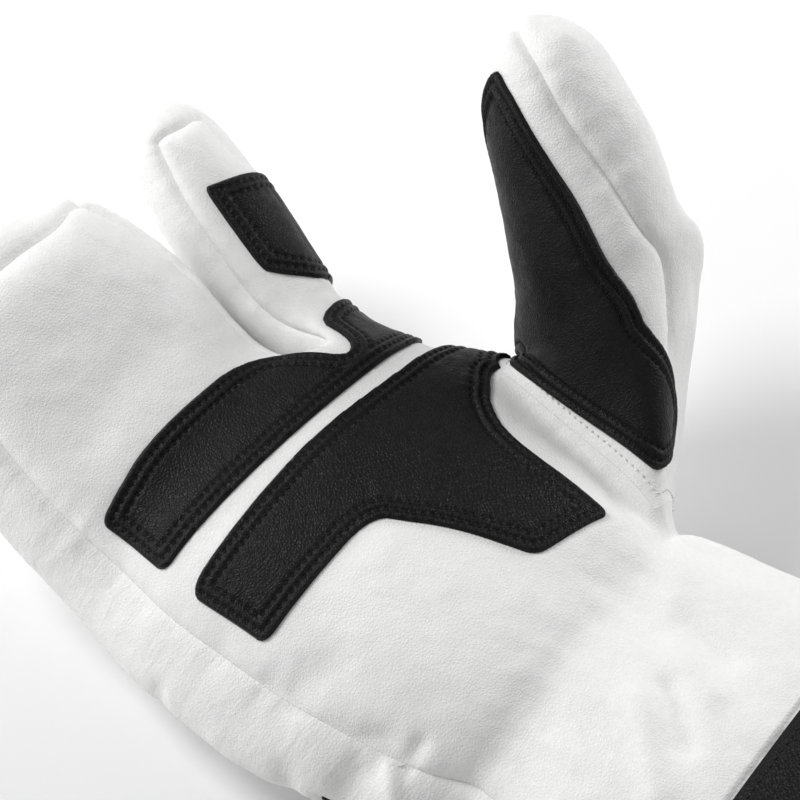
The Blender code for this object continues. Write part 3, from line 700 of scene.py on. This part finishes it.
class Seams:
    """Lines where two panels of the surface meet."""

    def __init__(self, surface):
        names, panel_index = np.unique(surface.panels, return_inverse=True)
        count = len(surface.points)
        lowest = np.full(count, len(names))
        highest = np.full(count, -1)
        for extreme, found in ((np.minimum, lowest), (np.maximum, highest)):
            extreme.at(found, surface.triangles.ravel(), np.repeat(panel_index, 3))
        self.at = np.flatnonzero(lowest != highest)
        is_thumb = np.array([name.startswith("thumb") for name in names])
        self.root = self.at[is_thumb[highest[self.at]] & ~is_thumb[lowest[self.at]]]
        self.distance, self.index = Nearest(surface.points[self.at])(surface.points)


def seam_hollow(distance):
    return SEAM_DEPTH * np.exp(-distance / SEAM_REACH) + PUFF_DEPTH * np.exp(-distance / PUFF_REACH)


def relief(surface, seams):
    """How far each point of the leather stands out from the plain surface."""
    points = surface.points
    plain = 1 - np.exp(-((seams.distance / SEAM_PLAIN) ** 2))
    out = SWELL * wave(points, SWELL_SCALE, 3.1) * plain
    out += CREASE * wave(points, CREASE_SCALE, 7.7) * plain
    for start, end, width, height in FOLDS:
        way = np.subtract(end, start)
        share = np.clip((points - start) @ way / (way @ way), 0, 1)[:, None]
        out += height * np.exp(-((np.linalg.norm(points - start - share * way, axis=1) / width) ** 2))
    turn = 2 * np.pi * (points[:, 0] + GATHER_LEAN * points[:, 2]) / GATHER_PITCH
    turn += GATHER_DRIFT * wave(points, GATHER_SCALE, 4.4)
    fade = np.exp(-(((points[:, 1] + PALM_LENGTH / 2) / GATHER_REACH) ** 2))
    out += GATHER * np.sin(turn) * fade * np.where(points[:, 2] > MIDDLE_HEIGHT, GATHER_ON_PALM, 1.0)
    along = wave(points[seams.at], PUCKER_SCALE, 1.3)[seams.index]
    out += PUCKER * along * np.exp(-seams.distance / PUCKER_REACH) * (1 - np.exp(-seams.distance))
    out -= seam_hollow(seams.distance)
    distance, _ = Nearest(points[seams.root])(points)
    out += seam_hollow(distance)
    out += RIDGE_HEIGHT * np.exp(-((distance / RIDGE_WIDTH) ** 2))
    return np.maximum(out, -DEEPEST)


def linked(name, data):
    made = bpy.data.objects.new(name, data)
    bpy.context.scene.collection.objects.link(made)
    return made


def new_object(name, points, faces, look, sharp=SHARP_ANGLE):
    mesh = bpy.data.meshes.new(name)
    mesh.from_pydata((points * MM).tolist(), [], faces)
    mesh.shade_smooth()
    mesh.set_sharp_from_angle(angle=np.radians(sharp))
    mesh.materials.append(look)
    return linked(name, mesh)


def wall(name, outer, inner, triangles, look, inside_look=None):
    """A closed leather wall between two layers of the same triangles."""
    used, index = np.unique(triangles, return_inverse=True)
    triangles = index.reshape(triangles.shape)
    count = len(used)
    faces = [*triangles.tolist(), *(triangles[:, ::-1] + count).tolist()]
    faces += [(b, a, a + count, b + count) for a, b in sorted(border_of(triangles))]
    made = new_object(name, np.vstack([outer[used], inner[used]]), faces, look)
    if inside_look:
        made.data.materials.append(inside_look)
        layers = np.zeros(len(faces), np.int32)
        layers[len(triangles) : 2 * len(triangles)] = 1
        made.data.polygons.foreach_set("material_index", layers)
    return made


def shell_piece(name, node, surface, outer, look, inside_look):
    triangles = surface.triangles[surface.panels == node]
    skin = drawn_in(outer, surface.normals, triangles, SKIN_GAP)
    flesh = drawn_in(surface.points, surface.normals, triangles, LINING_GAP)
    return wall(name, skin, flesh - surface.wall_ways * WALL, triangles, look, inside_look)


def cross(a, b):
    """Cross products of flat vectors."""
    return a[:, 0] * b[:, 1] - a[:, 1] * b[:, 0]


# Charts: place of their spots in a point's, and millimetres across and along
CHARTS = {
    "palm": (0, PALM_WIDTH / 2, PALM_LENGTH),
    "thumb": (2, np.pi * THUMB_WIDTH / 2, THUMB_LENGTH),
}


class Chart:
    """Maps spots of one flat pattern to the surface."""

    def __init__(self, surface, outer, chart):
        first, *self.scale = CHARTS[chart]
        self.spots = surface.spots[:, first : first + 2]
        self.triangles = surface.triangles[surface.charts == chart]
        flat = np.column_stack([self.spots, np.zeros(len(self.spots))])
        self.tree = BVHTree.FromPolygons(flat.tolist(), self.triangles.tolist())
        self.outer = outer
        self.normals = surface.normals

    def __call__(self, spots):
        """(points, normals) of the surface at each spot."""
        found = [self.tree.find_nearest((u, v, 0.0))[2] for u, v in spots.tolist()]
        corners = self.triangles[found]
        a, b, c = (self.spots[corners[:, k]] for k in range(3))
        whole = cross(b - a, c - a)
        second = cross(spots - a, c - a) / whole
        third = cross(b - a, spots - a) / whole
        shares = np.column_stack([1 - second - third, second, third])[:, :, None]
        normals = (self.normals[corners] * shares).sum(axis=1)
        return (self.outer[corners] * shares).sum(axis=1), units(normals)


def contour(points, normals, triangles, values, level):
    """Chains of points, with their normals, where the values cross a level. The shortest are left out."""
    above = values > level
    links = {}
    for triangle in triangles[above[triangles].any(axis=1) & ~above[triangles].all(axis=1)].tolist():
        sides = zip(triangle, triangle[1:] + triangle[:1])
        first, second = (tuple(sorted(side)) for side in sides if above[side[0]] != above[side[1]])
        links.setdefault(first, []).append(second)
        links.setdefault(second, []).append(first)
    left = set(links)
    starts = sorted(side for side in left if len(links[side]) == 1) + sorted(left)
    chains = []
    for start in starts:
        if start not in left:
            continue
        chain = [start]
        left.discard(start)
        while True:
            onward = [side for side in links[chain[-1]] if side in left]
            if not onward:
                break
            chain.append(onward[0])
            left.discard(onward[0])
        if start in links[chain[-1]] and len(chain) > 2:
            chain.append(start)
        low, high = np.array(chain).T
        shares = ((level - values[low]) / (values[high] - values[low]))[:, None]
        line = points[low] * (1 - shares) + points[high] * shares
        ways = normals[low] * (1 - shares) + normals[high] * shares
        if len(line) > SHORTEST_ROW:
            chains.append((line, ways))
    return chains


def stitch_places(chains, pitch):
    """(middle, way, up) of each stitch along chains of points."""
    places = []
    for line, normals in chains:
        steps = np.r_[0, np.cumsum(np.linalg.norm(np.diff(line, axis=0), axis=1))]
        count = int(steps[-1] // pitch)
        for k in range(count):
            middle = (k + 0.5) * steps[-1] / count
            before, at, after = (between(line, steps, middle + d) for d in (-pitch / 2, 0, pitch / 2))
            way = unit(after - before)
            side = unit(np.cross(way, unit(between(normals, steps, middle))))
            places.append((at, way, np.cross(side, way)))
    return places


def thread(name, places, height, length, look):
    """One stitch at each place, as one piece. Its ends dip into the leather."""
    sides = STITCH_SIDES
    points, faces = [], []
    for middle, way, up in places:
        side = np.cross(way, up)
        first = len(points)
        for along, wide in STITCH_RINGS:
            centre = middle + way * along * length + up * (height - STITCH_DIP * (2 * along) ** 4)
            for j in range(sides):
                turn = 2 * np.pi * j / sides
                points.append(centre + (side * np.cos(turn) + up * np.sin(turn)) * STITCH_RADIUS * wide)
        last = first + (len(STITCH_RINGS) - 1) * sides
        for base in range(first, last, sides):
            for j in range(sides):
                n = (j + 1) % sides
                faces.append((base + n, base + j, base + sides + j, base + sides + n))
        faces += [tuple(range(first, first + sides)), tuple(range(last + sides - 1, last - 1, -1))]
    points = np.array(points)
    points[:, 2] = np.maximum(points[:, 2], 0)
    return new_object(name, points, faces, look, THREAD_SHARP)


def filled(chart, corners):
    """An outline on a chart filled with an even mesh: spots, triangles and the points of the rim."""
    outline = rounded(corners)
    edge = densified(outline, PATCH_GRID, chart(outline)[0])
    low, high = edge.min(axis=0), edge.max(axis=0)
    across, along = (np.arange(low[k], high[k], PATCH_GRID / chart.scale[k]) for k in range(2))
    half = PATCH_GRID / chart.scale[0] / 2
    grid = np.array([(u + (j % 2) * half, v) for j, v in enumerate(along) for u in across])
    grid = grid[inside(edge, grid)]
    rim, _ = chart(edge)
    near, _ = Nearest(rim)(chart(grid)[0])
    grid = grid[near > PATCH_GRID * RIM_CLEAR]
    sides = [(k, (k + 1) % len(edge)) for k in range(len(edge))]
    places = [Vector(p) for p in np.vstack([edge, grid]).tolist()]
    cut, _, faces, *_ = geometry.delaunay_2d_cdt(places, sides, [], 0, CUT_TOLERANCE, False)
    cut, faces = np.array([tuple(p) for p in cut]), np.array(faces)
    a, b = (cut[faces[:, k]] - cut[faces[:, 0]] for k in (1, 2))
    area = np.abs(cross(a, b)) / 2 * np.prod(chart.scale)
    return cut, faces[inside(edge, cut[faces].mean(axis=1)) & (area > SLIVER)], rim


def band(distance, middle, width):
    """1 at a distance, which fades to 0 over a width on both sides of it."""
    return np.exp(-(((distance - middle) / width) ** 2))


def patch_piece(name, chart, corners, look, stitch_look, pitch):
    """A reinforcement with rounded edges and stitch rows pressed into it, and its thread."""
    spots, faces, rim = filled(chart, corners)
    base, normals = chart(spots)
    a, b, c = (base[faces[:, k]] for k in range(3))
    if (np.cross(b - a, c - a) * normals[faces[:, 0]]).sum() < 0:
        faces = faces[:, ::-1]
    line = densified(rim, RIM_STEP)
    distance, index = Nearest(line)(base)
    rise = np.sqrt(1 - (1 - np.clip(distance / PATCH_EDGE, 0, 1)) ** 2) * PATCH_THICK
    places = []
    for row in ROW_DISTANCES:
        rise -= ROW_DEPTH * band(distance, row, ROW_WIDTH)
        places += stitch_places(contour(base, normals, faces, distance, row), pitch)
    pit, _ = Nearest([place[0] for place in places])(base)
    rise -= PIT_DEPTH * band(pit, 0, PIT_WIDTH)
    rise += ROW_RIDGE * band(distance, sum(ROW_DISTANCES) / 2, ROW_RIDGE_WIDTH)
    pucker = wave(line, PATCH_PUCKER_SCALE, 5.5)[index]
    rise += PATCH_PUCKER * pucker * band(distance, PATCH_PUCKER_PLACE, PATCH_PUCKER_WIDTH)
    rise += PATCH_SWELL * wave(base, PATCH_SWELL_SCALE, 2.2) * np.clip(distance / PATCH_SWELL_START, 0, 1)
    inner = base + normals * PATCH_BASE
    outer = inner + normals * np.maximum(rise, PATCH_THINNEST)[:, None]
    body = wall(name, outer, inner, faces, look)
    height = PATCH_BASE + PATCH_THICK - ROW_DEPTH - PIT_DEPTH + STITCH_RADIUS * STITCH_LIFT
    return body, thread(f"{name}_thread", places, height, pitch * STITCH_SHARE, stitch_look)


def topstitch(name, surface, outer, on, beside, distance, pitch, look):
    """A row of stitches on some panels, at a distance from the seam between them and others."""
    on, beside = (surface.triangles[np.isin(surface.panels, panels)] for panels in (on, beside))
    seam = np.isin(surface.edges, np.intersect1d(on, beside)).all(axis=1)
    ends = surface.points[surface.edges[seam]]
    line = np.vstack([ends[:, 0] * (1 - t) + ends[:, 1] * t for t in (0, 0.25, 0.5, 0.75)])
    away, _ = Nearest(line)(surface.points)
    chains = contour(outer, surface.normals, on, away, distance)
    for row, _ in chains:
        for _ in range(ROW_EVENING):
            row[1:-1] = (row[:-2] + 2 * row[1:-1] + row[2:]) / 4
    return thread(name, stitch_places(chains, pitch), STITCH_RISE, pitch * STITCH_SHARE, look)


class Look:
    """Builds one procedural material."""

    def __init__(self, name):
        self.material = bpy.data.materials.new(name)
        self.material.use_nodes = True
        self.nodes = self.material.node_tree.nodes
        self.links = self.material.node_tree.links
        self.shader = self.nodes["Principled BSDF"]
        self.place = self.nodes.new("ShaderNodeTexCoord").outputs["Object"]

    def feed(self, node, inputs):
        for key, value in inputs.items():
            if isinstance(value, bpy.types.NodeSocket):
                self.links.new(value, node.inputs[key])
            else:
                node.inputs[key].default_value = value

    def node(self, kind, inputs, **values):
        made = self.nodes.new(kind)
        for key, value in values.items():
            setattr(made, key, value)
        self.feed(made, inputs)
        return made

    def noise(self, size, detail=3.0, roughness=0.55):
        """Noise with features of this size in millimetres."""
        inputs = {"Vector": self.place, "Scale": 1 / (size * MM), "Detail": detail, "Roughness": roughness}
        return self.node("ShaderNodeTexNoise", inputs).outputs["Fac"]

    def cells(self, size):
        """Distance to the edges of cells of this size in millimetres."""
        inputs = {"Vector": self.place, "Scale": 1 / (size * MM)}
        return self.node("ShaderNodeTexVoronoi", inputs, feature="DISTANCE_TO_EDGE").outputs["Distance"]

    def creases(self, way, pitch, length):
        """Short wrinkles that follow each other along a direction, at a pitch in millimetres."""
        way = Vector(way).normalized()
        side = way.orthogonal().normalized()
        turned = []
        for axis, size in ((way, pitch), (side, length), (way.cross(side), length)):
            inputs = {0: self.place, 1: tuple(axis / (size * MM))}
            turned.append(self.node("ShaderNodeVectorMath", inputs, operation="DOT_PRODUCT").outputs["Value"])
        place = self.node("ShaderNodeCombineXYZ", {"X": turned[0], "Y": turned[1], "Z": turned[2]})
        inputs = {"Vector": place.outputs["Vector"], "Scale": 1.0, "Detail": 3.0, "Distortion": 0.4}
        return self.node("ShaderNodeTexNoise", inputs).outputs["Fac"]

    def ramp(self, value, low, high, to_low=0.0, to_high=1.0):
        inputs = {"Value": value, "From Min": low, "From Max": high, "To Min": to_low, "To Max": to_high}
        return self.node("ShaderNodeMapRange", inputs).outputs["Result"]

    def mixed(self, share, first, second):
        inputs = {"Factor": share, "A": (*first, 1.0), "B": (*second, 1.0)}
        return self.node("ShaderNodeMix", inputs, data_type="RGBA").outputs["Result"]

    def bumps(self, *steps):
        """Each step is (height, strength, distance in millimetres)."""
        below = {}
        for height, strength, distance in steps:
            inputs = {"Height": height, "Strength": strength, "Distance": distance * MM, **below}
            below = {"Normal": self.node("ShaderNodeBump", inputs).outputs["Normal"]}
        self.feed(self.shader, below)

    def set(self, **values):
        self.feed(self.shader, {key.replace("_", " "): value for key, value in values.items()})


# Leathers: two colours, roughness, size and strength of the grain, and specular level
WHITE = ((0.88, 0.88, 0.875), (0.84, 0.84, 0.835), 0.5, 0.9, 0.42, 0.45)
BLACK = ((0.009, 0.009, 0.0094), (0.005, 0.005, 0.0052), 0.44, 0.85, 0.65, 0.17)
# Wrinkles: direction, pitch, length, and the strength and depth of their bump
WHITE_CREASES = {
    "white_leather_grain": ((1, 0.3, 0), 7.0, 16.0, 0.35, 0.9),
    "white_leather_gusset": ((0.15, 1, 0.1), 2.4, 9.0, 0.5, 0.5),
    "white_leather_thumb": ((0, 1, 1), 2.0, 7.0, 0.4, 0.4),
    "white_leather_side": ((0.2, 1, 0.4), 3.5, 10.0, 0.4, 0.5),
    "white_leather_streaks": ((0.62, -0.79, 0), 2.2, 10.0, 0.45, 0.45),
}
BLACK_CREASES = ((0.6, -0.5, 0.3), 5.0, 12.0, 0.35, 0.6)


def leather_look(name, creases, light, dark, rough, grain, strength, specular):
    look = Look(name)
    blotch = look.noise(38.0, 3.0)
    fine = look.noise(grain * 1.7, 2.0)
    both = look.node("ShaderNodeMath", {0: blotch, 1: fine}, operation="ADD").outputs[0]
    look.set(Base_Color=look.mixed(look.ramp(both, 0.75, 1.25), dark, light))
    look.set(Roughness=look.ramp(look.noise(grain * 3.0, 4.0), 0.3, 0.7, rough - 0.07, rough + 0.09))
    look.set(Specular_IOR_Level=specular)
    look.bumps(
        (look.creases(*creases[:3]), *creases[3:]),
        (look.noise(14.0, 2.0), 0.25, 0.6),
        (look.ramp(look.cells(grain), 0.0, 0.3), strength, 0.14),
        (look.noise(grain * 0.7, 3.0, 0.7), strength * 0.8, 0.1),
    )
    return look.material


def thread_look(name, colour):
    look = Look(name)
    share = look.ramp(look.noise(0.5), 0.3, 0.7)
    look.set(Base_Color=look.mixed(share, tuple(c * 0.8 for c in colour), colour))
    look.set(Roughness=0.62, Specular_IOR_Level=0.25)
    look.bumps((look.noise(0.25, 2.0), 0.5, 0.05))
    return look.material


def lining_look():
    look = Look("soft_lining")
    look.set(Base_Color=look.mixed(look.noise(2.2, 4.0), (0.42, 0.42, 0.42), (0.60, 0.60, 0.59)))
    look.set(Roughness=0.95, Specular_IOR_Level=0.1, Sheen_Weight=0.4)
    look.bumps((look.noise(1.6, 4.0, 0.7), 0.9, 0.5))
    return look.material


def floor_look():
    look = Look("pale_surface")
    look.set(Base_Color=look.mixed(look.noise(60.0), (0.93, 0.93, 0.93), (0.95, 0.95, 0.95)))
    look.set(Roughness=0.9, Specular_IOR_Level=0.1)
    return look.material


# Soft round lights: place and size in metres, and power in watts
LIGHTS = {
    "key": ((-0.16, 0.74, 0.86), 0.42, 7.0),
    "side": ((0.85, -0.2, 0.42), 0.5, 4.2),
    "left": ((-0.5, 0.76, 0.3), 0.45, 2.3),
}
LIT_SPOT = (0.0, 0.02, 0.04)
WORLD_STRENGTH = 0.33
FLOOR_REACH = 2.5


def soft_light(name, place, size, power):
    light = bpy.data.lights.new(name, "AREA")
    light.shape = "DISK"
    light.size = size
    light.energy = power
    made = linked(name, light)
    made.location = place
    made.rotation_euler = (Vector(LIT_SPOT) - Vector(place)).to_track_quat("-Z", "Y").to_euler()


def camera():
    """The photo's view: a target, the angles to it, how far it stands and its focal length."""
    target = np.array([21.03, 23.88, 56.27]) * MM
    azimuth, elevation, roll = 308.16, 55.36, np.radians(1.1)
    distance, lens = 463.9 * MM, 81.06
    back = heading(azimuth, elevation) * (1, -1, 1)
    right = unit(np.cross((0, 0, 1), back))
    up = np.cross(back, right)
    right, up = right * np.cos(roll) + up * np.sin(roll), up * np.cos(roll) - right * np.sin(roll)
    data = bpy.data.cameras.new("camera")
    data.lens = lens
    data.sensor_width = 36.0
    data.clip_start = 0.01
    made = linked("camera", data)
    rows = np.eye(4)
    rows[:3] = np.column_stack([right, up, back, target + back * distance])
    made.matrix_world = Matrix(rows.tolist())
    bpy.context.scene.camera = made


def studio():
    scene = bpy.context.scene
    scene.view_settings.view_transform = "Standard"
    world = bpy.data.worlds.new("studio")
    world.use_nodes = True
    sky = world.node_tree.nodes["Background"]
    sky.inputs["Color"].default_value = (1.0, 1.0, 1.0, 1.0)
    sky.inputs["Strength"].default_value = WORLD_STRENGTH
    scene.world = world
    corners = [(x * FLOOR_REACH, y * FLOOR_REACH, 0.0) for x, y in ((-1, -1), (1, -1), (1, 1), (-1, 1))]
    mesh = bpy.data.meshes.new("floor")
    mesh.from_pydata(corners, [], [(0, 1, 2, 3)])
    mesh.materials.append(floor_look())
    floor = linked("floor", mesh)
    for name, light in LIGHTS.items():
        soft_light(name, *light)


# Pieces: the node that each one takes the place of, and its look
SHELL = {
    "palm_leather": ("palm_panel", "white_leather_grain"),
    "back_leather": ("back_panel", "white_leather_grain"),
    "gusset_leather": ("side_gusset", "white_leather_gusset"),
    "fourchette_leather": ("fourchette", "white_leather_side"),
    "thumb_inner_leather": ("thumb_inner", "white_leather_thumb"),
    "thumb_outer_leather": ("thumb_outer", "white_leather_streaks"),
}
CUFF_PIECES = {"cuff_leather": "cuff", "hem_leather": "cuff_hem"}
# Reinforcements: node, chart, outline and pitch of the stitches
PATCHES = {
    "index_reinforcement": ("index_patch", "palm", INDEX_PATCH, STITCH_PITCH),
    "knuckle_reinforcement": ("knuckle_patch", "palm", KNUCKLE_PATCH, STITCH_PITCH),
    "palm_reinforcement": ("palm_patch", "palm", PALM_PATCH, STITCH_PITCH),
    "thumb_reinforcement": ("thumb_patch", "thumb", THUMB_PATCH, THUMB_PITCH),
}


def held_flat(surface):
    """How much a reinforcement holds the leather flat at each point, from 0 to 1."""
    held = np.zeros(len(surface.points))
    for _, kind, corners, _ in PATCHES.values():
        chart = Chart(surface, surface.points, kind)
        outline = rounded(corners)
        distance, _ = Nearest(densified(chart(outline)[0], OUTLINE_STEP))(surface.points)
        on_chart = np.unique(chart.triangles)
        distance[on_chart[inside(outline, chart.spots[on_chart])]] = 0
        held = np.maximum(held, band(distance, 0, PATCH_HOLD))
    return held


def carry(piece, slot, *nodes):
    """Puts a piece on the body, in place of its nodes. The slot is not used."""
    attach(piece, "root")
    if nodes:
        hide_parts(*nodes)


def main():
    surface = Surface(build_cage(), DETAIL_LEVELS)
    seams = Seams(surface)
    flat = surface.points[:, 2] <= 0
    out = relief(surface, seams) * (1 - PATCH_CALM * held_flat(surface))
    outer = surface.points + surface.normals * np.where(flat, 0, out)[:, None]
    outer[:, 2] = np.maximum(outer[:, 2], 0)
    white = {name: leather_look(name, creases, *WHITE) for name, creases in WHITE_CREASES.items()}
    black = leather_look("black_leather_grain", BLACK_CREASES, *BLACK)
    lining = lining_look()
    black_thread = thread_look("black_thread", (0.004, 0.004, 0.0042))
    white_thread = thread_look("white_thread", (0.8, 0.8, 0.79))
    for name, (node, look) in SHELL.items():
        piece = shell_piece(name, node, surface, outer, white[look], lining)
        carry(piece, "white_leather", node)
    for name, node in CUFF_PIECES.items():
        piece = shell_piece(name, node, surface, outer, black, lining)
        carry(piece, "black_leather", node)
    charts = {kind: Chart(surface, outer, kind) for kind in CHARTS}
    for name, (node, kind, corners, pitch) in PATCHES.items():
        body, stitches = patch_piece(name, charts[kind], corners, black, black_thread, pitch)
        carry(body, "black_leather", node)
        carry(stitches, "black_leather")
    thumb = ("thumb_inner", "thumb_outer")
    body = ("palm_panel", "back_panel", "fourchette", "side_gusset", "cuff")
    rows = (
        ("thumb_root_thread", thumb, ROOT_DISTANCE, ROOT_PITCH, white_thread, "white_leather"),
        ("hem_thread", "cuff_hem", HEM_DISTANCE, STITCH_PITCH, black_thread, "black_leather"),
    )
    for name, on, distance, pitch, look, slot in rows:
        carry(topstitch(name, surface, outer, on, body, distance, pitch, look), slot)
    studio()
    camera()


main()
